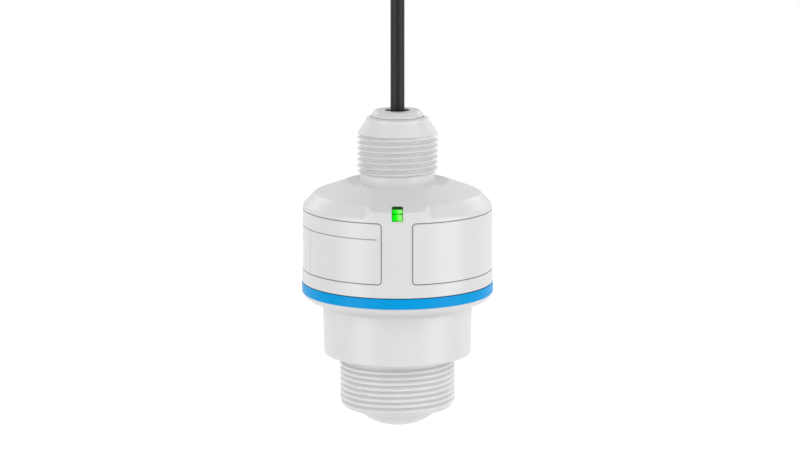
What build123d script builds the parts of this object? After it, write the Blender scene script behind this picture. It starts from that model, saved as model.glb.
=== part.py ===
from build123d import *
from math import asin, cos, degrees, radians, tan
import os

# Radar level transmitter for screwing into a tank roof, in millimetres.
# The origin is the centre of the face that seals against the tank, +Z runs up the axis to the cable,
# and the status light faces -Y. Radii grow outwards from the process thread, heights add up from its face.

# Process connection and lens
process_thread_d = 47.5
process_thread_l = 16.7
process_relief_h = 3.4
process_relief_depth = 1.15
thread_nose_w = 1.4
thread_nose_h = 2.2
connection_wall = 3.6
lens_inset = 4.75
lens_half_height = 12.7
lens_drop = 8.25
lens_back = 5.0

# Lower housing
seal_face_w = 6.55
body_draft = 0.9
body_edge_radius = 0.8
body_h = 20.3
body_floor = 5.0
body_wall = 2.7
flange_step = 8.85
flange_inset = 0.4
flange_slope_h = 2.9
flange_curve_w = 1.1
flange_curve_h = 1.0
flange_bevel_w = 0.5
flange_bevel_h = 1.0
flange_edge_h = 0.6
ledge_sink = 1.8
spigot_wall = 2.8
spigot_lip = 0.8
spigot_clearance = 0.2

# Seal between the housings
seal_rise = 1.7
seal_h = 2.0
seal_depth = 1.5

# Accent ring
ring_h = 4.2
ring_proud = 0.05
ring_lip_h = 0.3
ring_lip_inset = 0.65
ring_play = 0.1

# Upper housing
shell_waist_inset = 0.32
shell_wall = 3.0
shell_draft = 0.35
shell_flare_h = 6.1
edge_h = 34.6
shoulder_slope = 20.55
shoulder_wall = 4.5
shoulder_chamfer_w = 4.6
shoulder_chamfer_h = 3.2
chamfer_overcut = 1.0
chamfer_fade = 0.04
cavity_bevel_w = 4.6
cavity_bevel_h = 2.1
pad_half_angle = 15.5
pad_fade_angle = 5.5

# Neck, rear thread and cable entry
recess_w = 5.9
recess_depth = 2.0
recess_wall = 3.0
neck_gap = 3.1
neck_relief = 1.3
rear_thread_d = 33.04
rear_thread_l = 14.8
rear_chamfer_w = 0.42
rear_chamfer_h = 0.6
neck_cone_h = 5.1
neck_lip_h = 0.85
neck_crown_h = 0.75
neck_wall = 3.3
neck_lower_wall = 3.1
neck_web = 2.5
web_play = 0.45
entry_clearance = 0.1
cable_seal_h = 13.0
cable_seal_wall = 6.65

# Gland ring
gland_ring_inset = 2.4
gland_ring_bevel = 1.3
gland_ring_h = 2.4
gland_ring_foot_h = 1.1
gland_spigot_h = 2.1
gland_hole_gap = 2.25

# Cable and strain relief
cable_d = 5.7
free_cable = 51.6
cable_tail = 8.0
jacket_tail = 6.9
core_d = 1.9
core_spacing = 2.6
tie_t = 1.55
tie_h = 3.6
tie_head_l = 4.5
tie_head_w = 5.2
tie_head_bite = 1.0

# Carrier and horn
carrier_play = 0.5
carrier_t = 2.5
post_inset = 0.5
post_t = 2.7
post_step = 3.5
post_w = 7.0
post_ledge = 3.0
post_ledge_h = 1.5
post_hook = 0.9
post_hook_h = 2.0
post_angles = (90, 210, 330)
horn_play = 0.6
horn_wall = 1.4
horn_throat_d = 3.2
horn_throat_h = 10.0
horn_neck_d = 9.0
horn_neck_play = 0.2
horn_flange_d = 30.0
horn_flange_t = 1.5

# Boards and the parts on them
board_t = 1.6
board_gap = 12.0
board_play = 0.3
tab_play = 2.3
tab_w = 11.0
chip_side = 6.0
chip_h = 1.0
can_side = 16.0
can_h = 3.2
can_wall = 0.3
header_l = 15.0
header_w = 5.0
header_gap = 2.0
radio_l = 16.0
radio_w = 11.0
radio_h = 2.2
radio_margin = 11.5
parts_margin = 10.5
capacitor_d = 8.0
capacitor_h = 10.5
capacitor_pitch = 11.0
inductor_side = 10.0
inductor_h = 5.0
terminal_l = 10.4
terminal_w = 8.4
terminal_h = 9.0
ferrule_side = 1.6
ferrule_depth = 7.0
ferrule_reach = 3.0
ferrule_play = 0.2
led_side = 2.8
led_h = 1.1
led_edge = 0.3

# Light guide
guide_w = 4.35
guide_run = 4.9
guide_drop = 3.6
guide_recess = 0.12
guide_clearance = 0.08
guide_depth = 2.9
guide_stem = 2.8
guide_air = 0.15

# Cable gland at the cable's upper end
box_thread_d = 16.0
box_thread_h = 10.0
box_nut_wall = 1.5
box_nut_h = 11.0
box_collar_h = 5.0
box_wall_t = 2.0
box_bore_wall = 3.0
box_locknut_wall = 3.0
box_locknut_h = 4.0
box_bush_h = 8.0

# Radii worked out from the sizes above, from the process thread outwards
slope = tan(radians(shoulder_slope))
chamfer_slope = shoulder_chamfer_h / shoulder_chamfer_w + slope
process_r = process_thread_d / 2
relief_r = process_r - process_relief_depth
connection_bore_r = relief_r - connection_wall
lens_half_width = process_r - lens_inset
body_r = process_r + seal_face_w
body_top_r = body_r + (body_h - body_edge_radius) * tan(radians(body_draft))
body_bore_r = body_r - body_wall
shell_r = body_r + flange_step
waist_r = shell_r - shell_waist_inset
edge_r = waist_r - (edge_h - shell_flare_h) * tan(radians(shell_draft))
cavity_r = edge_r - shell_wall
spigot_r = cavity_r - spigot_clearance
spigot_bore_r = spigot_r - spigot_wall
flange_r = shell_r - flange_inset
flange_bevel_r = flange_r - flange_bevel_w
flange_slope_r = flange_bevel_r - flange_curve_w
ring_r = shell_r + ring_proud
ring_lip_r = ring_r - ring_lip_inset
rear_r = rear_thread_d / 2
neck_r = rear_r - neck_relief
recess_r = neck_r + recess_w
neck_cone_r = rear_r - rear_chamfer_w
neck_bore_r = neck_r - neck_lower_wall
cable_r = cable_d / 2
bush_r = cable_r + cable_seal_wall
neck_top_r = bush_r + neck_wall
gland_ring_r = neck_top_r - gland_ring_inset
carrier_r = spigot_bore_r - carrier_play
post_r = carrier_r - post_inset
power_board_r = post_r - post_t - board_play
radar_board_r = power_board_r - post_step
board_front = tab_play - cavity_r
led_y = board_front + led_edge + guide_stem / 2

# Levels worked out from the sizes above
lens_face = -process_relief_h - process_thread_l - thread_nose_h
lens_tip = lens_face - lens_drop
lens_back_face = lens_face + lens_back
flange_edge_z = body_h + flange_slope_h + flange_curve_h + flange_bevel_h
flange_top = flange_edge_z + flange_edge_h
ring_top = flange_top + ring_h
shell_bottom = ring_top + ring_lip_h
groove_bottom = shell_bottom + seal_rise
groove_top = groove_bottom + seal_h
spigot_top = groove_top + spigot_lip
edge_top = shell_bottom + edge_h
recess_rim_z = edge_top + (edge_r - recess_r) * slope
recess_floor = recess_rim_z - recess_depth
rear_thread_start = recess_rim_z + neck_gap + neck_relief
rear_thread_end = rear_thread_start + rear_thread_l
neck_lip_z = rear_thread_end + rear_chamfer_h + neck_cone_h
neck_crown_z = neck_lip_z + neck_lip_h
neck_top = neck_crown_z + neck_crown_h
gland_foot = neck_top - gland_spigot_h
bush_seat = gland_foot - cable_seal_h
web_bottom = bush_seat - neck_web
jacket_end = web_bottom - tie_h - jacket_tail
ledge_z = flange_top - ledge_sink
carrier_top = ledge_z + carrier_t
radar_board_bottom = carrier_top + post_ledge_h
radar_board_top = radar_board_bottom + board_t
power_board_bottom = radar_board_top + board_gap
power_board_top = power_board_bottom + board_t
terminal_top = power_board_top + terminal_h
box_gland_bottom = neck_top + gland_ring_h + free_cable
box_nut_top = box_gland_bottom + box_nut_h
box_collar_top = box_nut_top + box_collar_h


def turned(points, arc=360.0):
    """Solid of revolution about Z from a closed outline of (radius, height) points."""
    with BuildPart() as piece:
        with BuildSketch(Plane.XZ):
            with BuildLine():
                Polyline(*points, close=True)
            make_face()
        revolve(axis=Axis.Z, revolution_arc=arc)
    return piece.part


def rod(radius, bottom, top, x=0.0, y=0.0):
    """Upright round bar."""
    return Pos(x, y, bottom) * Cylinder(radius, top - bottom, align=(Align.CENTER, Align.CENTER, Align.MIN))


def block(length, width, bottom, top, x=0.0, y=0.0):
    """Upright box, its length along X and its width along Y."""
    return Pos(x, y, bottom) * Box(length, width, top - bottom, align=(Align.CENTER, Align.CENTER, Align.MIN))


def hexagon(wall, bottom, top):
    """Upright hexagonal bar on the axis, its flats one wall outside the upper gland's thread."""
    side = RegularPolygon(box_thread_d / 2 + wall, 6, major_radius=False)
    return Pos(0, 0, bottom) * extrude(side, top - bottom)


def shoulder_height(radius):
    """Height of the shoulder cone at a radius."""
    return edge_top + (edge_r - radius) * slope


def lower_housing():
    """Moulded body with the flange, the seal face, the process thread's blank and the lens in one piece."""
    rim_angle = degrees(asin((lens_half_height - lens_drop) / lens_half_height))
    rim_r = lens_half_width * cos(radians(rim_angle))
    edge_in = body_r - body_edge_radius
    groove_r = spigot_r - seal_depth
    with BuildPart() as piece:
        with BuildSketch(Plane.XZ):
            with BuildLine():
                EllipticalCenterArc((0, lens_tip + lens_half_height), lens_half_width, lens_half_height,
                                    start_angle=-90, arc_size=90 - rim_angle)
                Polyline((rim_r, lens_face), (process_r - thread_nose_w, lens_face),
                         (process_r, lens_face + thread_nose_h), (process_r, -process_relief_h),
                         (relief_r, process_relief_depth - process_relief_h), (relief_r, 0), (edge_in, 0))
                RadiusArc((edge_in, 0), (body_r, body_edge_radius), -body_edge_radius)
                Polyline((body_r, body_edge_radius), (body_top_r, body_h),
                         (flange_slope_r, body_h + flange_slope_h),
                         (flange_bevel_r, flange_edge_z - flange_bevel_h), (flange_r, flange_edge_z),
                         (flange_r, flange_top), (spigot_r, flange_top), (spigot_r, groove_bottom),
                         (groove_r, groove_bottom), (groove_r, groove_top), (spigot_r, groove_top),
                         (spigot_r, spigot_top), (spigot_bore_r, spigot_top), (spigot_bore_r, ledge_z),
                         (body_bore_r, ledge_z), (body_bore_r, body_floor), (connection_bore_r, body_floor),
                         (connection_bore_r, lens_back_face), (0, lens_back_face), (0, lens_tip))
            make_face()
        revolve(axis=Axis.Z)
    return piece.part


def housing_seal():
    """Flat ring that fills the groove in the spigot and bears on the upper housing."""
    inner = spigot_r - seal_depth
    outline = [(inner, groove_bottom), (cavity_r, groove_bottom), (cavity_r, groove_top), (inner, groove_top)]
    return turned(outline)


def accent_ring():
    """Coloured ring round the spigot, with a low lip that carries the upper housing and leaves a gap."""
    inner = spigot_r + ring_play
    return turned([(inner, flange_top), (ring_r, flange_top), (ring_r, ring_top), (ring_lip_r, ring_top),
                   (ring_lip_r, shell_bottom), (inner, shell_bottom)])


def guide_outline(grow=0.0):
    """Side view (y, z) of the light guide: the window round the shoulder's edge and the stem behind it."""
    skin = guide_recess if grow == 0.0 else -shell_wall
    outer = skin - edge_r
    inner = guide_run + grow - edge_r
    top = shoulder_height(edge_r - guide_run)
    foot = power_board_top + led_h + guide_air if grow == 0.0 else edge_top - guide_drop - shell_wall
    sill = edge_top - guide_drop - grow
    stem_out = led_y - guide_stem / 2 - grow
    stem_in = led_y + guide_stem / 2 + grow
    return [(inner, top - skin), (outer, edge_top - skin), (outer, sill), (stem_out, sill), (stem_out, foot),
            (stem_in, foot), (stem_in, top - guide_depth - guide_run * slope), (inner, top - guide_depth)]


def guide_solid(grow=0.0):
    """Light guide, or with grow the slot that takes it."""
    side = make_face(Polyline(*guide_outline(grow), close=True))
    return extrude(Plane.YZ * side, guide_w / 2 + grow, both=True)


def shoulder_chamfer():
    """What the soft chamfer takes off the shoulder's edge: all round, apart from the pad at the front."""
    def section(share):
        width = shoulder_chamfer_w * share
        drop = (shoulder_chamfer_h + chamfer_overcut * chamfer_slope) * share
        outside = edge_r + chamfer_overcut
        return [(outside, edge_top - drop), (edge_r - width, edge_top + width * slope),
                (outside, edge_top + chamfer_overcut)]

    def flat_section(share, angle):
        side = Plane.XZ * make_face(Polyline(*section(share), close=True))
        return Rot(0, 0, angle) * side

    start = pad_half_angle + pad_fade_angle
    main = Rot(0, 0, -90 + start) * turned(section(1), 360 - 2 * start)
    for turn in (-1, 1):
        full = flat_section(1, -90 + turn * start)
        faded = flat_section(chamfer_fade, -90 + turn * pad_half_angle)
        main += loft([full, faded], ruled=True)
    return main


def upper_housing():
    """Moulded cup with the shoulder, the neck in its recess and the rear thread's blank in one piece."""
    ceiling = shoulder_height(cavity_r) - shoulder_wall
    bevel_r = cavity_r - cavity_bevel_w
    web_hole_r = cable_r + web_play
    outer = [(shell_r, shell_bottom), (waist_r, shell_bottom + shell_flare_h), (edge_r, edge_top),
             (recess_r, recess_rim_z), (neck_r, recess_floor),
             (neck_r, rear_thread_start - neck_relief), (rear_r, rear_thread_start),
             (rear_r, rear_thread_end), (neck_cone_r, rear_thread_end + rear_chamfer_h),
             (neck_top_r, neck_lip_z), (neck_top_r - entry_clearance, neck_crown_z),
             (gland_ring_r, neck_top)]
    inner = [(bush_r, neck_top), (bush_r, bush_seat), (web_hole_r, bush_seat), (web_hole_r, web_bottom),
             (neck_bore_r, web_bottom), (neck_bore_r, recess_floor - recess_wall),
             (recess_r, ceiling + (cavity_r - recess_r) * slope),
             (bevel_r, ceiling + cavity_bevel_w * slope), (cavity_r, ceiling - cavity_bevel_h),
             (cavity_r, shell_bottom)]
    shell = turned(outer + inner) - shoulder_chamfer()
    return shell - guide_solid(guide_clearance)


def gland_ring():
    """Bevelled ring that is pressed into the neck and holds the bush down."""
    hole_r = cable_r + gland_hole_gap
    spigot = bush_r - entry_clearance
    top = neck_top + gland_ring_h
    return turned([(hole_r, gland_foot), (spigot, gland_foot), (spigot, neck_top), (gland_ring_r, neck_top),
                   (gland_ring_r, neck_top + gland_ring_foot_h), (gland_ring_r - gland_ring_bevel, top),
                   (hole_r, top)])


def cable_seal():
    """Rubber bush that fills the neck between its web and the gland ring, tight on the cable."""
    outer = bush_r - entry_clearance / 2
    return turned([(cable_r, bush_seat), (outer, bush_seat), (outer, gland_foot), (cable_r, gland_foot)])


def cable_tie():
    """Tie pulled tight round the cable under the web, which stops the cable from being pulled out."""
    bottom = web_bottom - tie_h
    band_r = cable_r + tie_t
    head_x = band_r - tie_head_bite + tie_head_l / 2
    piece = rod(band_r, bottom, web_bottom) + block(tie_head_l, tie_head_w, bottom, web_bottom, x=head_x)
    return piece - rod(cable_r, bottom, web_bottom)


def core_wire(side):
    """One insulated core, from the jacket's end down to its ferrule."""
    return rod(core_d / 2, terminal_top + ferrule_reach, jacket_end, x=side * core_spacing / 2)


def ferrule(side):
    """Square-crimped end of one core, standing in the terminal block."""
    return block(ferrule_side, ferrule_side, terminal_top - ferrule_depth, terminal_top + ferrule_reach,
                 x=side * core_spacing / 2)


def terminal_block():
    """Block on the power board with one square entry for each core."""
    entry = ferrule_side + 2 * ferrule_play
    piece = block(terminal_l, terminal_w, power_board_top, terminal_top)
    for side in (-1, 1):
        piece -= block(entry, entry, terminal_top - ferrule_depth, terminal_top, x=side * core_spacing / 2)
    return piece


def carrier():
    """Moulded plate on the lower housing's ledge, with stepped posts that hold both boards by their rims."""
    hole_r = horn_neck_d / 2 + horn_neck_play
    radar_seat = radar_board_r + board_play
    power_seat = power_board_r + board_play
    hook = power_board_top + board_play
    side = [(radar_board_r - post_ledge, carrier_top), (post_r, carrier_top), (post_r, hook + post_hook_h),
            (power_seat, hook + post_hook_h), (power_board_r - post_hook, hook), (power_seat, hook),
            (power_seat, power_board_bottom), (radar_seat, power_board_bottom),
            (radar_seat, radar_board_bottom), (radar_board_r - post_ledge, radar_board_bottom)]
    post = extrude(Plane.XZ * make_face(Polyline(*side, close=True)), post_w / 2, both=True)
    piece = rod(carrier_r, ledge_z, carrier_top) - rod(hole_r, ledge_z, carrier_top)
    for angle in post_angles:
        piece += Rot(0, 0, angle) * post
    return piece


def antenna_horn():
    """Metal horn clamped between the lens and the carrier, its throat up to the radar board."""
    outer_r = connection_bore_r - horn_play
    neck = horn_neck_d / 2
    throat = horn_throat_d / 2
    flange_bottom = ledge_z - horn_flange_t
    foot = flange_bottom - horn_throat_h
    return turned([(outer_r - horn_wall, lens_back_face), (outer_r, lens_back_face), (neck, foot),
                   (neck, flange_bottom), (horn_flange_d / 2, flange_bottom), (horn_flange_d / 2, ledge_z),
                   (neck, ledge_z), (neck, radar_board_bottom), (throat, radar_board_bottom), (throat, foot)])


def power_board():
    """Round circuit board with a tab at the front, which carries the status light."""
    tab = block(tab_w, -board_front, power_board_bottom, power_board_top, y=board_front / 2)
    return rod(power_board_r, power_board_bottom, power_board_top) + tab


def board_header():
    """Pin header that joins the two boards, beside the shield can."""
    x = (can_side + header_w) / 2 + header_gap
    return block(header_w, header_l, radar_board_top, power_board_bottom, x=x)


def shield_can():
    """Sheet screen over the radar chip."""
    top = radar_board_top + can_h
    inside = can_side - 2 * can_wall
    can = block(can_side, can_side, radar_board_top, top)
    return can - block(inside, inside, radar_board_top, top - can_wall)


def radio_module():
    """Small radio under its own screen, near the front of the power board."""
    y = radio_margin - power_board_r
    return block(radio_l, radio_w, power_board_top, power_board_top + radio_h, y=y)


def inductor():
    """Square inductor on the power board."""
    x = power_board_r - parts_margin
    return block(inductor_side, inductor_side, power_board_top, power_board_top + inductor_h, x=x)


def capacitor(side):
    """Upright capacitor on the power board."""
    x = parts_margin - power_board_r
    return rod(capacitor_d / 2, power_board_top, power_board_top + capacitor_h, x, side * capacitor_pitch / 2)


def status_led():
    """Lamp on the power board, right under the light guide's stem."""
    return block(led_side, led_side, power_board_top, power_board_top + led_h, y=led_y)


def box_nut():
    """Hexagonal cap nut of the upper gland."""
    piece = hexagon(box_nut_wall, box_gland_bottom, box_nut_top)
    piece -= rod(cable_r + entry_clearance, box_gland_bottom, box_nut_top)
    return piece - rod(box_thread_d / 2, box_nut_top - box_bush_h, box_nut_top)


def box_bush():
    """Rubber bush of the upper gland, round the cable in the cap nut."""
    outer = box_thread_d / 2
    bottom = box_nut_top - box_bush_h
    return turned([(cable_r, bottom), (outer, bottom), (outer, box_nut_top), (cable_r, box_nut_top)])


def box_body():
    """Body of the upper gland: a hexagonal collar and the thread that goes through the box's wall."""
    top = box_collar_top + box_thread_h
    piece = hexagon(box_nut_wall, box_nut_top, box_collar_top) + rod(box_thread_d / 2, box_collar_top, top)
    return piece - rod(box_thread_d / 2 - box_bore_wall, box_nut_top, top)


def box_locknut():
    """Lock nut on the upper gland's thread, one wall above the collar."""
    bottom = box_collar_top + box_wall_t
    top = bottom + box_locknut_h
    return hexagon(box_locknut_wall, bottom, top) - rod(box_thread_d / 2, bottom, top)


pieces = {
    "lower_housing": lower_housing(),
    "upper_housing": upper_housing(),
    "accent_ring": accent_ring(),
    "housing_seal": housing_seal(),
    "light_guide": guide_solid(),
    "gland_ring": gland_ring(),
    "cable_seal": cable_seal(),
    "cable": rod(cable_r, jacket_end, box_collar_top + cable_tail),
    "cable_tie": cable_tie(),
    "core_wire_brown": core_wire(-1),
    "core_wire_blue": core_wire(1),
    "ferrule_brown": ferrule(-1),
    "ferrule_blue": ferrule(1),
    "terminal_block": terminal_block(),
    "carrier": carrier(),
    "antenna_horn": antenna_horn(),
    "radar_board": rod(radar_board_r, radar_board_bottom, radar_board_top),
    "power_board": power_board(),
    "board_header": board_header(),
    "radar_chip": block(chip_side, chip_side, radar_board_top, radar_board_top + chip_h),
    "shield_can": shield_can(),
    "radio_module": radio_module(),
    "inductor": inductor(),
    "capacitor_front": capacitor(-1),
    "capacitor_rear": capacitor(1),
    "status_led": status_led(),
    "box_gland_nut": box_nut(),
    "box_gland_bush": box_bush(),
    "box_gland_body": box_body(),
    "box_gland_locknut": box_locknut(),
}

os.makedirs("parts", exist_ok=True)
for name, piece in pieces.items():
    export_step(piece, f"parts/{name}.step")
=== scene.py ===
from math import cos, pi, radians, sin, tan

import bmesh
import bpy
import numpy as np
from bpy.props import FloatProperty, FloatVectorProperty, PointerProperty
from bpy.types import Operator, Panel, PropertyGroup
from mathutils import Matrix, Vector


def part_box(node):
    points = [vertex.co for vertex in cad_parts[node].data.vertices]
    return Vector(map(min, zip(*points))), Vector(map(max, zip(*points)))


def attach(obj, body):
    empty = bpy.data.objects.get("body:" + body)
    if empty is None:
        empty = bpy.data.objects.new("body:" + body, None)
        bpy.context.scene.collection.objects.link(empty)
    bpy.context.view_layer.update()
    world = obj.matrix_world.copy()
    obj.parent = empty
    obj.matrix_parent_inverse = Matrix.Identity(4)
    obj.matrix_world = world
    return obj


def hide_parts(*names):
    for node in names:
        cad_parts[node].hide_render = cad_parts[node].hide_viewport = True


bl_info = {
    "name": "Radar level transmitter",
    "version": (1, 0, 0),
    "blender": (4, 5, 0),
    "location": "3D View > Sidebar > Transmitter",
    "description": "Dresses a screwed radar level transmitter and its cable, piece by piece",
    "category": "Add Mesh",
}

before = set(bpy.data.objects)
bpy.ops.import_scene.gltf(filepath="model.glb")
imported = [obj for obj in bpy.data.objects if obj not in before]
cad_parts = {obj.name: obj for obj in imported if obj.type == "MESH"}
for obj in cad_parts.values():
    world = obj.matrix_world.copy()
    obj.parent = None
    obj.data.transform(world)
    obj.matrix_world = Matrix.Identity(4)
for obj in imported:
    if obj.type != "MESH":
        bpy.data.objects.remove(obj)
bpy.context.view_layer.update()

MM = 0.001
CABLE_EXIT = 0.0980

# Levels and radii of the ring and the two housings, in millimetres, as the frame has them
LENS_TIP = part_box("lower_housing")[0].z / MM
RING_LOW, RING_HIGH = (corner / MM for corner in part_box("accent_ring"))
RING_R = RING_HIGH.x - 0.01
SHELL_R = 39.15
EDGE_R = 38.656
EDGE_TOP = 64.9
SLOPE = tan(radians(20.55))
CAVITY_R = 35.656
SPIGOT_R = 35.456
PROCESS_R = 23.75
RELIEF_R = 22.6
LENS_R = 19.0
LENS_FACE = -22.3
REAR_R = 16.52
NECK_R = 15.22
RECESS_R = 21.12
RECESS_FLOOR = 69.474


# Settings that a user would change

def length(name, about, millimetres):
    """A size in metres, given here in millimetres."""
    return FloatProperty(name=name, description=about, default=millimetres * MM, min=0.0, unit="LENGTH",
                         precision=5)


def angle(name, about, degrees):
    """An angle, given here in degrees."""
    return FloatProperty(name=name, description=about, default=radians(degrees), unit="ROTATION")


def colour(name, about, red, green, blue):
    """A colour in linear light."""
    return FloatVectorProperty(name=name, description=about, default=(red, green, blue), min=0.0, max=1.0,
                               size=3, subtype="COLOR")


def share(name, about, amount):
    """A plain number."""
    return FloatProperty(name=name, description=about, default=amount, min=0.0)


class TransmitterSizes(PropertyGroup):
    """Sizes of the threads, the printed panels and the cable."""
    pitch: length("Thread pitch", "Pitch of both pipe threads", 2.309)
    process_depth: length("Process thread depth", "Depth of the moulded grooves of the lower thread", 1.15)
    rear_depth: length("Rear thread depth", "Depth of the moulded grooves of the upper thread", 1.42)
    panel_top: length("Panel top", "Height of the printed panels' upper line", 60.3)
    panel_bottom: length("Panel bottom", "Height of the printed panels' lower line", 35.7)
    panel_corner: length("Panel corner", "Corner radius of the printed panels", 1.5)
    panel_line: length("Panel line", "Width of the printed lines", 0.42)
    panel_start: angle("Panel start", "Azimuth at which each panel starts beside the light", 9.2)
    panel_end: angle("Panel end", "Azimuth at which each panel ends behind", 136.0)
    cable_width: length("Cable diameter", "Diameter of the cable", 5.7)


class TransmitterColours(PropertyGroup):
    """Colours of the main pieces."""
    housing: colour("Housing", "Light grey moulded plastic", 0.745, 0.745, 0.75)
    print_grey: colour("Printed lines", "Grey ink of the panels' outlines", 0.11, 0.11, 0.115)
    ring: colour("Ring", "Blue ring between the housings", 0.0, 0.345, 0.78)
    light: colour("Light", "Status light at its left side", 0.0, 0.95, 0.0)
    # Painted shadow of the slot's gap at the status light's upper end
    light_gap_shadow: colour("Light end", "Status light at its upper end", 0.0, 0.03, 0.0)
    cable: colour("Cable", "Black jacket", 0.006, 0.006, 0.0065)
    gland: colour("Gland", "Dark grey polyamide of the upper gland", 0.05, 0.05, 0.055)


class StudioSettings(PropertyGroup):
    """Floor and light of the studio."""
    floor_drop: length("Floor drop", "How far the floor lies under the origin", 600.0)
    horizon: share("Horizon light", "Strength of the light that comes in level", 0.345)
    overhead: share("Overhead light", "Strength of the light from straight above", 0.40)
    left_lamp: share("Left lamp", "Power of the soft lamp on the left, in watts", 8.6)
    right_lamp: share("Right lamp", "Power of the soft lamp on the right, in watts", 9.6)
    back_lamps: share("Back lamps", "Power of each of the two lamps behind and above, in watts", 1.8)


# Surfaces

def even(count):
    """Numbers between 0 and 1 at equal steps, without the two ends."""
    return np.arange(1, count + 1) / (count + 1)


def gathered(count):
    """Numbers between 0 and 1 that lie closer together near both ends: half of one minus the cosine."""
    return (1 - np.cos(pi * even(count))) / 2


def rounded(corners, rounding, rows, loop=False):
    """Outline with rounded corners, as an array (..., point, 2).

    Each corner gives way to the parabola between the two points that lie a rounding away from it on its
    edges: (1 - t)^2 start + 2 t (1 - t) corner + t^2 end. Each edge gets its own number of points between.
    """
    steps = 6
    ahead = np.roll(corners, -1, axis=-2)
    run = np.linalg.norm(ahead - corners, axis=-1)
    heading = (ahead - corners) / run[..., None]
    reach = np.minimum(rounding, 0.45 * np.minimum(run, np.roll(run, 1, axis=-1)))
    if not loop:
        reach[..., [0, -1]] = 0.0
    start = corners - np.roll(heading, 1, axis=-2) * reach[..., None]
    end = corners + heading * reach[..., None]
    t = np.linspace(0, 1, steps)[:, None]
    arcs = ((1 - t) ** 2 * start[..., None, :] + 2 * t * (1 - t) * corners[..., None, :]
            + t ** 2 * end[..., None, :])
    last = len(rows) - 1
    parts = []
    for i, count in enumerate(rows):
        sharp = rounding[i] == 0.0 or (not loop and i in (0, last))
        parts.append(arcs[..., i, :1 if sharp else steps, :])
        if count and (loop or i < last):
            along = (even(count) if count > 20 else gathered(count))[:, None]
            onward = start[..., (i + 1) % len(rows), None, :]
            parts.append(end[..., i, None, :] * (1 - along) + onward * along)
    return np.concatenate(parts, axis=-2)


def section(outline, loop=False):
    """Rounded outline from rows of radius, height, rounding and number of points up to the next corner."""
    table = np.array(outline, dtype=float)
    return rounded(table[:, :2], table[:, 2], table[:, 3].astype(int), loop)


def azimuths(count):
    """Angles round the axis in equal steps from the back, with one straight at the front."""
    return np.arange(count) * 2 * pi / count - pi


def turn(radius, height, azimuth):
    """Points of a turned surface: x is radius times sine, y is minus radius times cosine of the azimuth."""
    radius, height, azimuth = np.broadcast_arrays(radius, height, azimuth)
    return np.stack([radius * np.sin(azimuth), -radius * np.cos(azimuth), height], axis=-1)


def smooth(x):
    """Soft step: 0 below 0, 1 above 1 and 3 x^2 - 2 x^3 between."""
    x = np.clip(x, 0.0, 1.0)
    return x * x * (3 - 2 * x)


def lower_of(a, b, blend):
    """Smaller of two heights with the crease between them rounded off: a hyperbola of that width."""
    return (a + b - np.sqrt((a - b) ** 2 + blend ** 2)) / 2


def ridge(azimuth, height, pitch, level, first, last, crest, root):
    """Right-hand helical ridge, 1 on its crest and 0 in its root.

    The crest of turn k lies at level + pitch (k + azimuth / 2 pi). The share of the pitch between a point
    and the nearest crest goes through a soft step, flat over the crest's and the root's own share, and the
    ridge fades in and out along the helix, over a share of its first and last turn.
    """
    fade = 0.12
    turns = (height - level) / pitch - azimuth / (2 * pi)
    k = np.round(turns)
    away = np.abs(turns - k)
    along = k + azimuth / (2 * pi)
    form = 1 - smooth((away - crest) / (0.5 - crest - root))
    return form * smooth((along - first) / fade) * smooth((last - along) / fade)


def mesh_of(name, points, loop=False, poles=(False, False)):
    """Mesh of a grid of points, in millimetres, whose columns close round the axis.

    A pole is a first or last row drawn together into one point. With loop the last row joins the first.
    """
    rows, columns = points.shape[:2]
    low = 1 if poles[0] else 0
    high = rows - 1 if poles[1] else rows
    body = points[low:high]
    count = len(body)
    index = np.arange(count * columns).reshape(count, columns)
    if loop:
        index = np.concatenate([index, index[:1]])
    beside = np.roll(index, -1, axis=1)
    quads = np.stack([index[:-1], beside[:-1], beside[1:], index[1:]], axis=-1).reshape(-1, 4)
    faces = quads.tolist()
    vertices = [body.reshape(-1, 3)]
    total = count * columns
    if poles[0]:
        vertices.append(points[0, :1])
        tip = np.full(columns, total)
        faces += np.stack([tip, beside[0], index[0]], axis=-1).tolist()
        total += 1
    if poles[1]:
        vertices.append(points[-1, :1])
        tip = np.full(columns, total)
        faces += np.stack([index[-1], beside[-1], tip], axis=-1).tolist()
    mesh = bpy.data.meshes.new(name)
    mesh.from_pydata((np.concatenate(vertices) * MM).tolist(), [], faces)
    mesh.validate()
    return mesh


def finish_piece(name, mesh, material, node, crease=40.0):
    """Object of a finished mesh: shaded smooth up to the crease angle, riding on the frame for its node."""
    mesh.shade_smooth()
    mesh.set_sharp_from_angle(angle=radians(crease))
    mesh.materials.clear()
    mesh.materials.append(material)
    piece = bpy.data.objects.new(name, mesh)
    bpy.context.scene.collection.objects.link(piece)
    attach(piece, "root")
    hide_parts(node)
    return piece


def prism(name, outline, half_width, cut):
    """Mesh of an outline of y and z, in millimetres, carried along X for half a width each way.

    The two upright corners at the outline's first point are cut off at 45 degrees.
    """
    count = len(outline)
    side = np.array(outline, dtype=float)
    ends = [np.column_stack([np.full(count, x), side]) for x in (-half_width, half_width)]
    near = np.arange(count)
    beside = np.roll(near, -1)
    faces = np.stack([near, beside, beside + count, near + count], axis=-1).tolist()
    faces += [near[::-1].tolist(), (near + count).tolist()]
    mesh = bpy.data.meshes.new(name)
    mesh.from_pydata((np.concatenate(ends) * MM).tolist(), [], faces)
    work = bmesh.new()
    work.from_mesh(mesh)
    first = outline[0][0] * MM
    upright = [edge for edge in work.edges
               if all(abs(end.co.y - first) < 1e-6 for end in edge.verts)
               and edge.verts[0].co.x * edge.verts[1].co.x > 0]
    bmesh.ops.bevel(work, geom=upright, offset=cut * MM, segments=1, affect="EDGES")
    bmesh.ops.recalc_face_normals(work, faces=work.faces)
    work.to_mesh(mesh)
    work.free()
    return mesh


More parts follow.
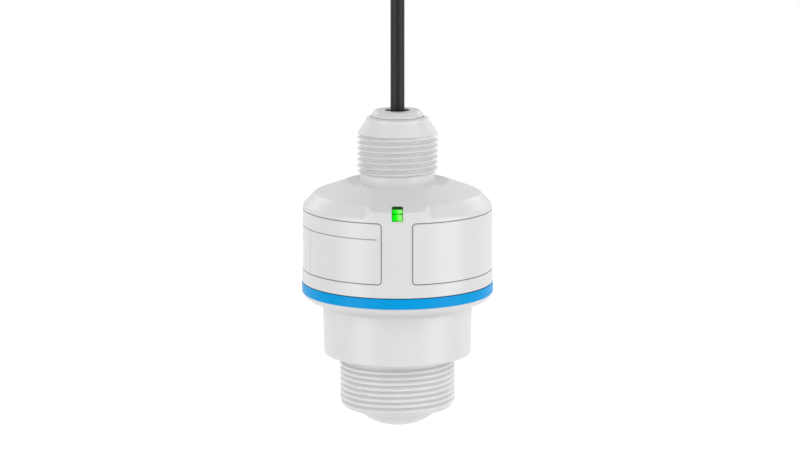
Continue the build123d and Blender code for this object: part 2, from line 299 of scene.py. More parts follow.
def applied(mesh, kind, **values):
    """Copy of a mesh with one modifier applied to it."""
    holder = bpy.data.objects.new("holder", mesh)
    bpy.context.scene.collection.objects.link(holder)
    modifier = holder.modifiers.new("work", kind)
    for key, value in values.items():
        setattr(modifier, key, value)
    graph = bpy.context.evaluated_depsgraph_get()
    done = bpy.data.meshes.new_from_object(holder.evaluated_get(graph))
    bpy.data.objects.remove(holder)
    done.name = mesh.name
    return done


def without(mesh, cutter):
    """Copy of a mesh with the space of another taken out of it."""
    tool = bpy.data.objects.new("tool", cutter)
    bpy.context.scene.collection.objects.link(tool)
    done = applied(mesh, "BOOLEAN", operation="DIFFERENCE", solver="EXACT", object=tool)
    bpy.data.objects.remove(tool)
    return done


# Materials

class Value:
    """One number in a tree of shader nodes. Working on it adds Math nodes."""

    def __init__(self, owner, socket):
        self.owner = owner
        self.socket = socket

    def math(self, operation, *others):
        """Math node on this value and others, in that order."""
        return self.owner.node("ShaderNodeMath", {"operation": operation}, dict(enumerate((self, *others))))

    def __add__(self, other):
        return self.math("ADD", other)

    def __radd__(self, other):
        return self.math("ADD", other)

    def __sub__(self, other):
        return self.math("SUBTRACT", other)

    def __rsub__(self, other):
        return (self * -1.0) + other

    def __mul__(self, other):
        return self.math("MULTIPLY", other)

    def __abs__(self):
        return self.math("ABSOLUTE")

    def within(self, low, high):
        """0 at low, 1 at high and a soft step between."""
        return self.owner.node("ShaderNodeMapRange", {"interpolation_type": "SMOOTHSTEP"},
                               {"Value": self, "From Min": low, "From Max": high})


class Tree:
    """A tree of shader nodes being put together, of a material or of the world."""

    def __init__(self, owner):
        owner.use_nodes = True
        self.tree = owner.node_tree

    def feed(self, socket, value):
        """Links a value to a socket, or writes a plain number, colour or vector into it."""
        if isinstance(value, Value):
            self.tree.links.new(value.socket, socket)
        elif socket.type == "RGBA" and len(value) == 3:
            socket.default_value = (*value, 1.0)
        else:
            socket.default_value = value

    def node(self, kind, settings, inputs, output=0):
        """New node: its settings first, then the values or links of its inputs."""
        made = self.tree.nodes.new(kind)
        for key, value in settings.items():
            setattr(made, key, value)
        for key, value in inputs.items():
            self.feed(made.inputs[key], value)
        return Value(self, made.outputs[output])

    def seen(self):
        """1 for what the camera sees directly, in a reflection or through glass, and 0 for other light."""
        seen = self.node("ShaderNodeLightPath", {}, {}, "Is Camera Ray")
        for kind in ("Is Glossy Ray", "Is Transmission Ray"):
            seen = seen.math("MAXIMUM", self.node("ShaderNodeLightPath", {}, {}, kind))
        return seen


class Finish(Tree):
    """A material being put together: its tree, its main shader and the coordinates of the piece."""

    def __init__(self, name, **shader):
        self.material = bpy.data.materials.new(name)
        super().__init__(self.material)
        self.shader = self.tree.nodes["Principled BSDF"]
        self.set(**shader)

    def set(self, **sockets):
        """Sets or links the main shader's sockets; an underscore in a name stands for a space."""
        for name, value in sockets.items():
            self.feed(self.shader.inputs[name.replace("_", " ")], value)

    def place(self):
        """The point on the piece, in metres."""
        return self.node("ShaderNodeTexCoord", {}, {}, "Object")

    def axes(self):
        """The point's x, y and z as three numbers."""
        place = self.place()
        return [self.node("ShaderNodeSeparateXYZ", {}, {"Vector": place}, axis) for axis in "XYZ"]

    def noise(self, size, detail=3.0, rough=0.5, stretch=None):
        """Soft noise from 0 to 1 with clouds of a size in millimetres, drawn out along axes by stretch."""
        place = self.place()
        if stretch:
            place = self.node("ShaderNodeMapping", {}, {"Vector": place, "Scale": stretch})
        return self.node("ShaderNodeTexNoise", {}, {"Vector": place, "Scale": 1.0 / (size * MM),
                                                    "Detail": detail, "Roughness": rough})

    def mixed(self, factor, first, second):
        """Colour between two colours."""
        return self.node("ShaderNodeMix", {"data_type": "RGBA"}, {0: factor, 6: first, 7: second}, 2)

    def colour(self):
        """The colour that the main shader has so far."""
        return Value(self, self.shader.inputs["Base Color"].links[0].from_socket)

    def shade(self, tone, factor, change):
        """A colour made darker or lighter by up to a share as the factor goes from 0 to 1."""
        dark = tuple(part * (1 - change) for part in tone)
        pale = tuple(min(1.0, part * (1 + change)) for part in tone)
        return self.mixed(factor, dark, pale)

    def relief(self, height, depth, normal=None):
        """Bump of a height from 0 to 1 over a depth in millimetres."""
        inputs = {"Height": height, "Strength": 1.0, "Distance": depth * MM}
        if normal:
            inputs["Normal"] = normal
        return self.node("ShaderNodeBump", {}, inputs)


def moulded(name, tone, roughness, grain=0.16, depth=0.012, change=0.02, specular=0.6):
    """Moulded plastic: an even colour with faint clouds, and the fine grain of a spark-eroded mould."""
    finish = Finish(name, Specular_IOR_Level=specular)
    clouds = finish.noise(9.0)
    fine = finish.noise(grain, detail=2.0)
    finish.set(Base_Color=finish.shade(tone, clouds * 0.7 + fine * 0.3, change),
               Roughness=fine * 0.10 + (clouds * 0.08 + (roughness - 0.09)),
               Normal=finish.relief(fine, depth))
    return finish


def painted_thread_shade(finish, root, crest, low, high):
    """Painted shade in the roots and painted highlight on the crests of a thread between two heights, by the
    distance from the axis: darker towards the root, paler towards the crest.
    """
    x, y, z = finish.axes()
    away = (x * x + y * y).math("SQRT")
    level = away.within(root * MM, crest * MM)
    soft = 0.2
    on_thread = z.within(low * MM, (low + soft) * MM) * (1 - z.within((high - soft) * MM, high * MM))
    plain = finish.colour()
    # Painted shade and painted highlight: the colour's value runs from darker at the root to paler at the
    # crest
    thread_shading = finish.node("ShaderNodeHueSaturation", {}, {"Value": level * 0.20 + 0.86, "Color": plain})
    finish.set(Base_Color=finish.mixed(on_thread, plain, thread_shading))


def printed_shell(sizes, colours):
    """Housing plastic with the thin printed outlines of two blank panels and one panel's divisions.

    Each outline is where the distance to a rectangle with rounded corners, wrapped round the shell, is 0.
    """
    twist = radians(0.3)
    rule_height = 53.8 * MM
    rule_start, rule_end = radians(11.6), radians(11.9)
    post_azimuth = radians(65.0)
    finish = moulded("housing_plastic_printed", colours.housing, 0.33)
    # Painted shade in the rear thread's roots and painted highlight on its crests
    painted_thread_shade(finish, NECK_R, REAR_R, low=74.7, high=91.2)
    x, y, height = finish.axes()
    azimuth = x.math("ARCTAN2", y * -1.0) + twist
    radius = EDGE_R * MM
    corner = sizes.panel_corner
    half_line = sizes.panel_line / 2
    middle = (sizes.panel_start + sizes.panel_end) / 2
    half_run = (sizes.panel_end - sizes.panel_start) / 2 * radius - corner
    half_rise = (sizes.panel_top - sizes.panel_bottom) / 2 - corner
    centre = (sizes.panel_top + sizes.panel_bottom) / 2
    across = abs((abs(azimuth) - middle) * radius) - half_run
    up = abs(height - centre) - half_rise
    out_across = across.math("MAXIMUM", 0.0)
    out_up = up.math("MAXIMUM", 0.0)
    outside = (out_across * out_across + out_up * out_up).math("SQRT")
    inside = across.math("MAXIMUM", up).math("MINIMUM", 0.0)
    edge = abs(outside + inside - corner)
    soft = half_line * 0.5
    frame_line = 1 - edge.within(half_line - soft, half_line + soft)
    rule = 1 - abs(height - rule_height).within(half_line - soft, half_line + soft)
    rule = rule * (azimuth * -1.0).within(rule_start, rule_end)
    rule = rule * azimuth.within(-sizes.panel_end, -sizes.panel_end + 0.004)
    post = 1 - abs((azimuth + post_azimuth) * radius).within(half_line - soft, half_line + soft)
    post = post * height.within(sizes.panel_bottom, sizes.panel_bottom + 0.2 * MM)
    post = post * (1 - height.within(rule_height - 0.1 * MM, rule_height + 0.1 * MM))
    ink = frame_line.math("MAXIMUM", rule * 0.8).math("MAXIMUM", post * 0.45)
    finish.set(Base_Color=finish.mixed(ink, finish.colour(), colours.print_grey))
    return finish.material


def lit_guide(colours):
    """Clear green plastic with light in it: paler towards the right as a painted reflection of the right
    lamp, painted shade along the fold between its faces, a painted shadow of the slot's gap over its top
    end, and dim at its foot and rims.
    """
    foot_z, bend_z, top_z = 0.06140, 0.06430, 0.06555
    finish = Finish("light_guide_green", Roughness=0.30, Specular_IOR_Level=0.08)
    x, y, z = finish.axes()
    # Painted shadow of the slot's dark gap over the guide's top end, in both its colour and its glow
    painted_top_shadow = z.within(top_z, top_z + 0.00025)
    # Painted shade along the fold where the guide turns over the shoulder's edge
    bend = 1 - abs(z - bend_z).within(0.00015, 0.00065)
    bend = bend * (abs(x).within(0.0002, 0.0014) * 0.35 + 0.55)
    foot = (1 - z.within(foot_z, foot_z + 0.00100)) * (0.95 - x.within(-0.0010, 0.0012) * 0.25)
    rim = abs(x).within(0.0013, 0.0021) * 0.7
    speckle = finish.noise(0.5)
    # Painted reflection of the right lamp: the glow turns paler towards the right
    glow_and_reflection = finish.mixed(x.within(-0.0008, 0.0014), colours.light, (0.36, 1.0, 0.22))
    level = 1 - bend.math("MAXIMUM", foot * 0.7).math("MAXIMUM", rim)
    glow = finish.mixed(level * (speckle * 0.12 + 0.93), (0.0, 0.12, 0.0), glow_and_reflection)
    glow = finish.mixed(painted_top_shadow, glow, colours.light_gap_shadow)
    finish.set(Base_Color=finish.mixed(painted_top_shadow, (0.0, 0.20, 0.0), (0.0, 0.02, 0.0)),
               Emission_Color=glow, Emission_Strength=0.95)
    return finish.material


def cable_jacket(colours):
    """Extruded black jacket: slightly uneven along its length, with faint drawn lines and a dull skin."""
    finish = Finish("cable_jacket", Specular_IOR_Level=0.28)
    lines = finish.noise(0.35, stretch=(1.0, 1.0, 0.04))
    waves = finish.noise(5.0, stretch=(1.0, 1.0, 0.5))
    finish.set(Base_Color=finish.shade(colours.cable, lines * 0.6 + waves * 0.4, 0.35),
               Roughness=lines * 0.12 + (waves * 0.14 + 0.34),
               Normal=finish.relief(lines, 0.02, finish.relief(waves, 0.25)))
    return finish.material


def metal(name, tone, roughness, marks, size):
    """Bare metal with fine marks: turned marks follow the height and radius, rolled ones run along X."""
    finish = Finish(name, Metallic=1.0)
    stretch = (0.05, 1.0, 1.0) if marks == "rolled" else (0.15, 0.15, 1.0)
    lines = finish.noise(size, detail=4.0, rough=0.6, stretch=stretch)
    stains = finish.noise(4.0)
    finish.set(Base_Color=finish.shade(tone, stains, 0.05),
               Roughness=lines * 0.16 + (stains * 0.08 + (roughness - 0.12)),
               Normal=finish.relief(lines, 0.008))
    return finish.material


def circuit_board():
    """Green solder mask over copper: straight tracks and round pads."""
    finish = Finish("circuit_board", Specular_IOR_Level=0.5, Coat_Weight=0.25)
    place = finish.place()
    tracks = finish.node("ShaderNodeTexBrick", {"offset": 0.37, "squash": 1.0},
                         {"Vector": place, "Scale": 260.0, "Mortar Size": 0.06, "Brick Width": 1.9,
                          "Row Height": 0.5}, "Fac")
    pads = finish.node("ShaderNodeTexVoronoi", {}, {"Vector": place, "Scale": 340.0, "Randomness": 0.75},
                       "Distance")
    pad = 1 - pads.within(0.13, 0.17)
    mask = finish.mixed(tracks, (0.010, 0.115, 0.045), (0.03, 0.23, 0.095))
    finish.set(Base_Color=finish.mixed(pad, mask, (0.62, 0.58, 0.46)),
               Metallic=pad * 0.8,
               Roughness=0.34 + tracks * 0.08,
               Normal=finish.relief(tracks + pad, 0.03))
    return finish.material


def lamp_chip():
    """Small white lamp with the yellow phosphor under its clear, round window."""
    window_y, window_r = -0.03166, 0.00095
    finish = Finish("status_lamp_white", Specular_IOR_Level=0.5)
    x, y, z = finish.axes()
    away = (x * x + (y - window_y) * (y - window_y)).math("SQRT")
    window = 1 - away.within(window_r, window_r + 0.00015)
    speckle = finish.noise(0.12)
    finish.set(Base_Color=finish.mixed(window, (0.86, 0.85, 0.80), (0.80, 0.72, 0.16)),
               Roughness=speckle * 0.1 + (0.42 - window * 0.25), Normal=finish.relief(speckle, 0.006))
    return finish.material


# Pieces

def settings():
    """Sizes and colours that the user has set."""
    scene = bpy.context.scene
    return scene.transmitter_sizes, scene.transmitter_colours


class TRANSMITTER_OT_camera(Operator):
    """Camera at the photograph's viewing angle"""
    bl_idname = "transmitter.camera"
    bl_label = "Camera"

    def execute(self, context):
        data = bpy.data.cameras.new("view")
        data.lens = 127.04
        data.sensor_width = 36.0
        data.clip_start = 0.01
        data.clip_end = 50.0
        camera = bpy.data.objects.new("view", data)
        camera.location = (0.00102, -1.135, 0.2652)
        camera.rotation_euler = (radians(79.4), 0.0, 0.0)
        context.scene.collection.objects.link(camera)
        context.scene.camera = camera
        return {"FINISHED"}


class TRANSMITTER_OT_cable(Operator):
    """Straight cable, held taut from the neck up to the upper gland"""
    bl_idname = "transmitter.cable"
    bl_label = "Cable"

    def execute(self, context):
        sizes, colours = settings()
        low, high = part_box("cable")
        route = np.zeros((4, 4))
        route[:, 2] = (low.z, CABLE_EXIT, 0.1380, high.z)
        route[:, 3] = 1.0
        curve = bpy.data.curves.new("cable_line", "CURVE")
        curve.dimensions = "3D"
        spline = curve.splines.new("NURBS")
        spline.points.add(len(route) - 1)
        spline.points.foreach_set("co", route.ravel())
        spline.order_u = 3
        spline.use_endpoint_u = True
        spline.resolution_u = 12
        curve.bevel_depth = sizes.cable_width / 2
        curve.bevel_resolution = 10
        curve.use_fill_caps = True
        curve.materials.append(cable_jacket(colours))
        cable = bpy.data.objects.new("signal_cable", curve)
        context.scene.collection.objects.link(cable)
        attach(cable, "root")
        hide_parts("cable")
        return {"FINISHED"}


class TRANSMITTER_OT_lower_housing(Operator):
    """Lower housing with the lens, the moulded process thread, the round body and the flange"""
    bl_idname = "transmitter.lower_housing"
    bl_label = "Lower housing"

    def execute(self, context):
        sizes, colours = settings()
        # The lens is an ellipse about a centre inside: radius is a cos t and height is centre + b sin t
        lens_angle = np.linspace(-pi / 2, -radians(20.5), 26)[:, None]
        lens_b = 12.7
        lens = np.concatenate([LENS_R * np.cos(lens_angle), LENS_TIP + lens_b + lens_b * np.sin(lens_angle)],
                              axis=1)
        # From the lens's rim up the outside to the spigot, then down the inside to the axis
        outline = section([
            (lens[-1, 0], LENS_FACE, 0.0, 3), (22.35, LENS_FACE, 0.35, 4), (PROCESS_R, -20.1, 0.5, 165),
            (PROCESS_R, -3.4, 0.2, 5), (RELIEF_R, -2.25, 0.25, 4), (RELIEF_R, 0.0, 0.35, 4),
            (30.3, 0.0, 0.9, 12), (30.606, 20.3, 0.7, 4), (37.15, 23.2, 0.45, 3), (38.25, 24.2, 0.45, 3),
            (38.75, 25.2, 0.25, 3), (38.75, RING_LOW.z, 0.12, 4), (SPIGOT_R, RING_LOW.z, 0.2, 4),
            (SPIGOT_R, 32.0, 0.0, 2), (SPIGOT_R - 1.5, 32.0, 0.0, 2), (SPIGOT_R - 1.5, 34.0, 0.0, 2),
            (SPIGOT_R, 34.0, 0.1, 2), (SPIGOT_R, 34.8, 0.2, 3), (SPIGOT_R - 2.8, 34.8, 0.2, 4),
            (SPIGOT_R - 2.8, 24.0, 0.2, 3), (27.6, 24.0, 0.2, 5), (27.6, 5.0, 0.5, 4),
            (LENS_R, 5.0, 0.4, 5), (LENS_R, -17.3, 0.2, 6), (0.0, -17.3, 0.0, 0)])
        profile = np.concatenate([lens[:-1], outline])[:, None, :]
        azimuth = azimuths(232)[None, :]
        radius, height = profile[..., 0], profile[..., 1]
        depth = sizes.process_depth / MM
        pitch = sizes.pitch / MM
        threads = ridge(azimuth, height, pitch, level=-11.02, first=-4.6, last=3.6, crest=0.08, root=0.02)
        grooved = lower_of(radius, PROCESS_R - depth + depth * threads, 0.08)
        on_thread = (radius > LENS_R + 1.0) & (height < -2.2) & (height > LENS_FACE + 0.01)
        radius = np.where(on_thread, grooved, radius)
        mesh = mesh_of("lower_housing_form", turn(radius, height, azimuth), poles=(True, True))
        finish = moulded("housing_plastic", colours.housing, 0.33)
        # Painted shade in the process thread's roots and painted highlight on its crests
        painted_thread_shade(finish, RELIEF_R, PROCESS_R, low=-21.0, high=-2.4)
        finish_piece("lower_housing_moulding", mesh, finish.material, "lower_housing")
        return {"FINISHED"}


class TRANSMITTER_OT_upper_housing(Operator):
    """Upper housing with the shoulder, its pad at the front, the rear thread and the printed panels"""
    bl_idname = "transmitter.upper_housing"
    bl_label = "Upper housing"

    def execute(self, context):
        sizes, colours = settings()
        azimuth = np.union1d(azimuths(204), np.radians(np.linspace(-24, 24, 65)))
        azimuth = azimuth[np.concatenate([[True], np.diff(azimuth) > 1e-4])]
        # The chamfer along the shoulder's edge runs out to almost nothing beside the flat pad at the front
        chamfer = 0.04 + 0.96 * np.clip((np.degrees(np.abs(azimuth)) - 15.5) / 5.5, 0.0, 1.0)
        still = np.ones_like(azimuth)
        ceiling = EDGE_TOP + 3.0 * SLOPE - 4.5
        # Rows as in section, from the foot up the shell, shoulder and neck, and back down the inside
        table = [
            (SHELL_R, 30.3, 0.2, 5), (38.83, 36.4, 2.2, 12),
            (EDGE_R, EDGE_TOP - 3.2 * chamfer, 0.7, 3),
            (EDGE_R - 4.6 * chamfer, EDGE_TOP + 4.6 * chamfer * SLOPE, 0.7, 8),
            (RECESS_R, RECESS_FLOOR + 2.0, 0.9, 3), (NECK_R, RECESS_FLOOR, 1.3, 3),
            (NECK_R, 74.574, 0.2, 4), (REAR_R, 75.874, 0.2, 136), (REAR_R, 90.674, 0.2, 2),
            (16.1, 91.274, 0.2, 6),
            (12.8, 96.374, 0.2, 3), (12.65, 97.224, 0.12, 3), (10.9, 97.8, 0.06, 2), (10.75, 97.35, 0.0, 2),
            (9.5, 97.35, 0.0, 4),
            (9.5, 82.874, 0.0, 2), (3.3, 82.874, 0.0, 2), (3.3, 80.374, 0.0, 2), (12.12, 80.374, 0.3, 4),
            (12.12, RECESS_FLOOR - 3.0, 0.5, 3),
            (RECESS_R, ceiling + (CAVITY_R - RECESS_R) * SLOPE, 0.5, 4),
            (CAVITY_R - 4.6, ceiling + 4.6 * SLOPE, 0.6, 3), (CAVITY_R, ceiling - 2.1, 0.6, 6),
            (CAVITY_R, 30.3, 0.2, 3)]
        corners = np.stack([np.stack([row[0] * still, row[1] * still], axis=-1) for row in table], axis=1)
        outline = rounded(corners, np.array([row[2] for row in table]), [row[3] for row in table], loop=True)
        radius, height = np.moveaxis(outline, 1, 0)[..., 0], np.moveaxis(outline, 1, 0)[..., 1]
        depth = sizes.rear_depth / MM
        threads = ridge(azimuth[None, :], height, sizes.pitch / MM, level=82.84, first=-3.35, last=9.0,
                        crest=0.0, root=0.10)
        # The last groove runs out as it climbs into the cone
        grooves = depth * (1 - threads) * (1 - smooth((height - 90.2) / 1.5))
        ridged = lower_of(radius, REAR_R - grooves, 0.06)
        on_thread = (radius > 14.0) & (height > 74.6) & (height < 91.2)
        radius = np.where(on_thread, ridged, radius)
        mesh = mesh_of("upper_housing_form", turn(radius, height, azimuth[None, :]), loop=True)
        # The light guide's slot, from in front of the wall to behind it
        slot_space = prism("slot", [(-33.676, 72.0), (-41.7, 72.0), (-41.7, 61.22), (-33.136, 61.22),
                                    (-33.136, 58.0), (-30.176, 58.0), (-30.176, 62.0), (-33.676, 63.837)],
                           half_width=2.255, cut=0.62)
        mesh = without(mesh, slot_space)
        finish_piece("upper_housing_moulding", mesh, printed_shell(sizes, colours),
                     "upper_housing", crease=32.0)
        return {"FINISHED"}


class TRANSMITTER_OT_accent_ring(Operator):
    """Blue ring between the housings"""
    bl_idname = "transmitter.accent_ring"
    bl_label = "Blue ring"

    def execute(self, context):
        colours = settings()[1]
        bore_r, lip_r = SPIGOT_R + 0.1, RING_R - 0.65
        outline = section([
            (RING_R, RING_LOW.z, 0.22, 8), (RING_R, RING_HIGH.z - 0.3, 0.28, 3),
            (lip_r, RING_HIGH.z - 0.3, 0.08, 2), (lip_r, RING_HIGH.z, 0.08, 3),
            (bore_r, RING_HIGH.z, 0.15, 4), (bore_r, RING_LOW.z, 0.15, 4)], loop=True)[:, None, :]
        points = turn(outline[..., 0], outline[..., 1], azimuths(256)[None, :])
        mesh = mesh_of("accent_ring_form", points, loop=True)
        finish = moulded("accent_blue_plastic", colours.ring, 0.36, grain=0.22, depth=0.008, specular=0.1)
        # Painted shadow of the gap between the ring and the upper housing, as a dark band near the ring's
        # top edge
        painted_lip_shadow = finish.axes()[2].within((RING_HIGH.z - 0.36) * MM, (RING_HIGH.z - 0.28) * MM)
        finish.set(Base_Color=finish.mixed(painted_lip_shadow, finish.colour(), (0.0, 0.03, 0.07)))
        finish_piece("accent_ring_moulding", mesh, finish.material, "accent_ring")
        return {"FINISHED"}


class TRANSMITTER_OT_light_guide(Operator):
    """Green status light that bends over the shoulder's edge"""
    bl_idname = "transmitter.light_guide"
    bl_label = "Status light"

    def execute(self, context):
        colours = settings()[1]
        mesh = prism("light_guide_form", [
            (-33.756, 66.617), (-38.536, 64.78), (-38.536, 61.3), (-33.056, 61.3), (-33.056, 44.45),
            (-30.256, 44.45), (-30.256, 62.0), (-33.756, 63.837)], half_width=2.175, cut=0.6)
        mesh = applied(mesh, "BEVEL", width=0.15 * MM, segments=3, limit_method="ANGLE")
        finish_piece("light_guide_moulding", mesh, lit_guide(colours), "light_guide")
        return {"FINISHED"}


class TRANSMITTER_OT_gland_ring(Operator):
    """Bevelled ring round the cable's exit"""
    bl_idname = "transmitter.gland_ring"
    bl_label = "Gland ring"

    def execute(self, context):
        colours = settings()[1]
        outline = section([
            (10.6, 97.85, 0.1, 3), (10.5, 98.75, 0.5, 4), (9.0, 100.374, 0.4, 4),
            (5.1, 100.374, 0.35, 6), (5.1, 95.874, 0.2, 4), (9.4, 95.874, 0.2, 4),
            (9.4, 97.85, 0.0, 3)], loop=True)[:, None, :]
        points = turn(outline[..., 0], outline[..., 1], azimuths(160)[None, :])
        mesh = mesh_of("gland_ring_form", points, loop=True)
        tone = tuple(0.93 * level for level in colours.housing)
        material = moulded("gland_ring_plastic", tone, 0.36, specular=0.45).material
        finish_piece("gland_ring_moulding", mesh, material, "gland_ring")
        return {"FINISHED"}


def hexagonal(azimuth, radius, height, low, high, half_flat):
    """Radius cut back to a hexagon with both ends turned off to a cone at 30 degrees.

    A side's distance from the axis is half the width over the cosine of the angle to its middle. Only points
    further out than the inside of the hexagon are cut back, so the bore stays round.
    """
    off = (azimuth + pi / 2 + pi / 6) % (pi / 3) - pi / 6
    cone = half_flat - 0.5 + np.minimum(height - low, high - height) / tan(radians(30))
    side = lower_of(half_flat / np.cos(off), cone, 0.12)
    return np.where(radius > half_flat - 0.6, lower_of(side, radius, 0.05), radius)


class TRANSMITTER_OT_upper_gland(Operator):
    """Hexagonal cap nut, body and lock nut at the cable's upper end"""
    bl_idname = "transmitter.upper_gland"
    bl_label = "Upper gland"

    def execute(self, context):
        colours = settings()[1]
        finish = moulded("gland_polyamide", colours.gland, 0.42, grain=0.3, depth=0.02, change=0.12,
                         specular=0.35)
        azimuth = azimuths(240)[None, :]
        collar, thread_r, root_r = 5.0, 8.0, 7.15

        low, high = (corner.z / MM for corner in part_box("box_gland_nut"))
        nut = section([
            (3.15, low, 0.3, 3), (9.0, low, 0.0, 1), (20.0, low + 0.2, 0.0, 26), (20.0, high - 0.2, 0.0, 1),
            (9.0, high, 0.0, 3), (8.0, high, 0.1, 3), (8.0, high - 8.0, 0.2, 2), (3.15, high - 8.0, 0.2, 2)],
            loop=True)[:, None, :]
        radius = hexagonal(azimuth, nut[..., 0], nut[..., 1], low, high, half_flat=9.5)
        mesh = mesh_of("gland_nut_form", turn(radius, nut[..., 1], azimuth), loop=True)
        finish_piece("gland_cap_nut", mesh, finish.material, "box_gland_nut", crease=28.0)

        low, high = (corner.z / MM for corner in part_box("box_gland_body"))
        body = section([
            (5.0, low, 0.2, 3), (9.0, low, 0.0, 1), (20.0, low + 0.2, 0.0, 16),
            (20.0, low + collar - 0.2, 0.0, 1), (9.0, low + collar, 0.0, 3),
            (thread_r, low + collar, 0.0, 150), (thread_r, high - 0.005, 0.25, 5),
            (5.0, high - 0.005, 0.3, 6)], loop=True)[:, None, :]
        radius = hexagonal(azimuth, body[..., 0], body[..., 1], low, low + collar, half_flat=9.5)
        threads = ridge(azimuth, body[..., 1], pitch=1.5, level=high - 5.0, first=-3.1, last=3.2,
                        crest=0.08, root=0.06)
        on_thread = (radius > 7.0) & (radius < 8.2) & (body[..., 1] > low + collar)
        grooved = lower_of(radius, root_r + (thread_r - root_r) * threads, 0.04)
        radius = np.where(on_thread, grooved, radius)
        mesh = mesh_of("gland_body_form", turn(radius, body[..., 1], azimuth), loop=True)
        finish_piece("gland_threaded_body", mesh, finish.material, "box_gland_body",
                     crease=28.0)

        low, high = (corner.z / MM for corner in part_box("box_gland_locknut"))
        locknut = section([
            (8.0, low, 0.2, 3), (10.5, low, 0.0, 1), (20.0, low + 0.2, 0.0, 14), (20.0, high - 0.2, 0.0, 1),
            (10.5, high, 0.0, 3), (8.0, high, 0.2, 5)], loop=True)[:, None, :]
        radius = hexagonal(azimuth, locknut[..., 0], locknut[..., 1], low, high, half_flat=11.0)
        mesh = mesh_of("gland_locknut_form", turn(radius, locknut[..., 1], azimuth), loop=True)
        finish_piece("gland_lock_nut", mesh, finish.material, "box_gland_locknut",
                     crease=28.0)

        return {"FINISHED"}


class TRANSMITTER_OT_inner_parts(Operator):
    """Finishes of the boards, the horn, the carrier and the wires inside the housing"""
    bl_idname = "transmitter.inner_parts"
    bl_label = "Inner parts"

    def execute(self, context):
        rubber = moulded("black_rubber", (0.03, 0.03, 0.03), 0.62, grain=0.3, depth=0.02, change=0.2)
        black = moulded("black_plastic", (0.025, 0.025, 0.026), 0.48, grain=0.2, depth=0.015, change=0.2)
        nylon = moulded("tie_nylon", (0.75, 0.74, 0.70), 0.42, grain=0.4, depth=0.02, change=0.04)
        brown = moulded("core_brown", (0.18, 0.07, 0.03), 0.34, grain=0.4, depth=0.01, change=0.08)
        blue = moulded("core_blue", (0.03, 0.12, 0.45), 0.34, grain=0.4, depth=0.01, change=0.08)
        block = moulded("terminal_green", (0.05, 0.35, 0.12), 0.44, grain=0.25, depth=0.015, change=0.06)
        ferrite = moulded("ferrite_core", (0.08, 0.08, 0.085), 0.60, grain=0.15, depth=0.03, change=0.25)
        tinned = metal("tinned_sheet", (0.75, 0.75, 0.74), 0.30, "rolled", 0.35)
        turned_metal = metal("turned_aluminium", (0.80, 0.80, 0.81), 0.28, "turned", 0.12)
        finishes = (
            (rubber.material, ("housing_seal", "cable_seal", "box_gland_bush")),
            (black.material, ("carrier", "board_header", "radar_chip")),
            (nylon.material, ("cable_tie",)),
            (brown.material, ("core_wire_brown",)),
            (blue.material, ("core_wire_blue",)),
            (block.material, ("terminal_block",)),
            (ferrite.material, ("inductor",)),
            (tinned, ("ferrule_brown", "ferrule_blue", "shield_can", "radio_module")),
            (turned_metal, ("antenna_horn", "capacitor_front", "capacitor_rear")),
            (circuit_board(), ("radar_board", "power_board")),
            (lamp_chip(), ("status_led",)))
        for material, names in finishes:
            for name in names:
                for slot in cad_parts[name].material_slots:
                    slot.material = material
        return {"FINISHED"}


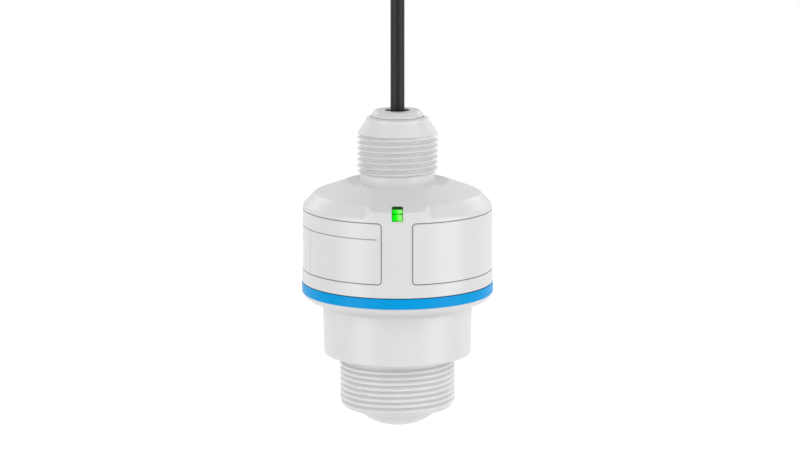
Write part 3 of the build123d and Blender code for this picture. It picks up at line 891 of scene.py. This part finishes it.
class TRANSMITTER_OT_stage(Operator):
    """Pale floor, white surroundings, two soft lamps in front and two behind"""
    bl_idname = "transmitter.stage"
    bl_label = "Stage"

    def execute(self, context):
        studio = context.scene.transmitter_studio
        context.scene.view_settings.view_transform = "Standard"

        floor_mesh = bpy.data.meshes.new("floor")
        reach, depth = 4.0, -studio.floor_drop
        floor_mesh.from_pydata([(-reach, -reach, depth), (reach, -reach, depth), (reach, reach, depth),
                                (-reach, reach, depth)], [], [(0, 1, 2, 3)])
        finish = Finish("floor_pale", Base_Color=(0.80, 0.80, 0.80), Roughness=0.9, Specular_IOR_Level=0.1)
        finish.set(Emission_Color=finish.mixed(finish.seen(), (0.0, 0.0, 0.0), (1.0, 1.0, 1.0)),
                   Emission_Strength=0.75)
        floor_mesh.materials.append(finish.material)
        floor = bpy.data.objects.new("floor", floor_mesh)
        context.scene.collection.objects.link(floor)

        world = bpy.data.worlds.new("studio")
        context.scene.world = world
        sky = Tree(world)
        direction = sky.node("ShaderNodeTexCoord", {}, {}, "Generated")
        rise = sky.node("ShaderNodeSeparateXYZ", {}, {"Vector": direction}, "Z")
        light = sky.node("ShaderNodeMapRange", {}, {"Value": rise, "To Min": studio.horizon,
                                                    "To Max": studio.overhead})
        seen = sky.seen()
        back = sky.tree.nodes["Background"]
        sky.feed(back.inputs["Color"], (1.0, 1.0, 1.0))
        sky.feed(back.inputs["Strength"], light * (1 - seen) + seen)

        distance, aim = 1.13, 0.06
        lamps = (("lamp_left", -52.0, 0.30, 0.70, 1.6, studio.left_lamp),
                 ("lamp_right", 62.0, 0.30, 0.80, 1.6, studio.right_lamp),
                 ("lamp_back_left", -145.0, 0.70, 0.50, 0.5, studio.back_lamps),
                 ("lamp_back_right", 145.0, 0.70, 0.50, 0.5, studio.back_lamps))
        for name, azimuth, height, width, tall, power in lamps:
            lamp = bpy.data.lights.new(name, "AREA")
            lamp.shape = "RECTANGLE"
            lamp.size = width
            lamp.size_y = tall
            lamp.energy = power
            holder = bpy.data.objects.new(name, lamp)
            turned = radians(azimuth)
            holder.location = (distance * sin(turned), -distance * cos(turned), height)
            holder.rotation_euler = (pi / 2 - (height - aim) / distance, 0.0, turned)
            context.scene.collection.objects.link(holder)
        return {"FINISHED"}


class TRANSMITTER_PT_panel(Panel):
    """Lists the pieces and their settings in the sidebar"""
    bl_idname = "TRANSMITTER_PT_panel"
    bl_label = "Level transmitter"
    bl_space_type = "VIEW_3D"
    bl_region_type = "UI"
    bl_category = "Transmitter"

    def draw(self, context):
        column = self.layout.column()
        for operator in OPERATORS:
            column.operator(operator.bl_idname)
        scene = context.scene
        for group in (scene.transmitter_sizes, scene.transmitter_colours, scene.transmitter_studio):
            column.separator()
            for name in group.__annotations__:
                column.prop(group, name)


OPERATORS = (TRANSMITTER_OT_camera, TRANSMITTER_OT_cable, TRANSMITTER_OT_lower_housing,
             TRANSMITTER_OT_upper_housing, TRANSMITTER_OT_accent_ring, TRANSMITTER_OT_light_guide,
             TRANSMITTER_OT_gland_ring, TRANSMITTER_OT_upper_gland, TRANSMITTER_OT_inner_parts,
             TRANSMITTER_OT_stage)
CLASSES = (TransmitterSizes, TransmitterColours, StudioSettings, *OPERATORS, TRANSMITTER_PT_panel)


def register():
    for each in CLASSES:
        bpy.utils.register_class(each)
    bpy.types.Scene.transmitter_sizes = PointerProperty(type=TransmitterSizes)
    bpy.types.Scene.transmitter_colours = PointerProperty(type=TransmitterColours)
    bpy.types.Scene.transmitter_studio = PointerProperty(type=StudioSettings)


def unregister():
    del bpy.types.Scene.transmitter_studio
    del bpy.types.Scene.transmitter_colours
    del bpy.types.Scene.transmitter_sizes
    for each in reversed(CLASSES):
        bpy.utils.unregister_class(each)


def main():
    """Makes every piece and the stage."""
    register()
    for operator in OPERATORS:
        group, name = operator.bl_idname.split(".")
        getattr(getattr(bpy.ops, group), name)()


if __name__ == "__main__":
    main()
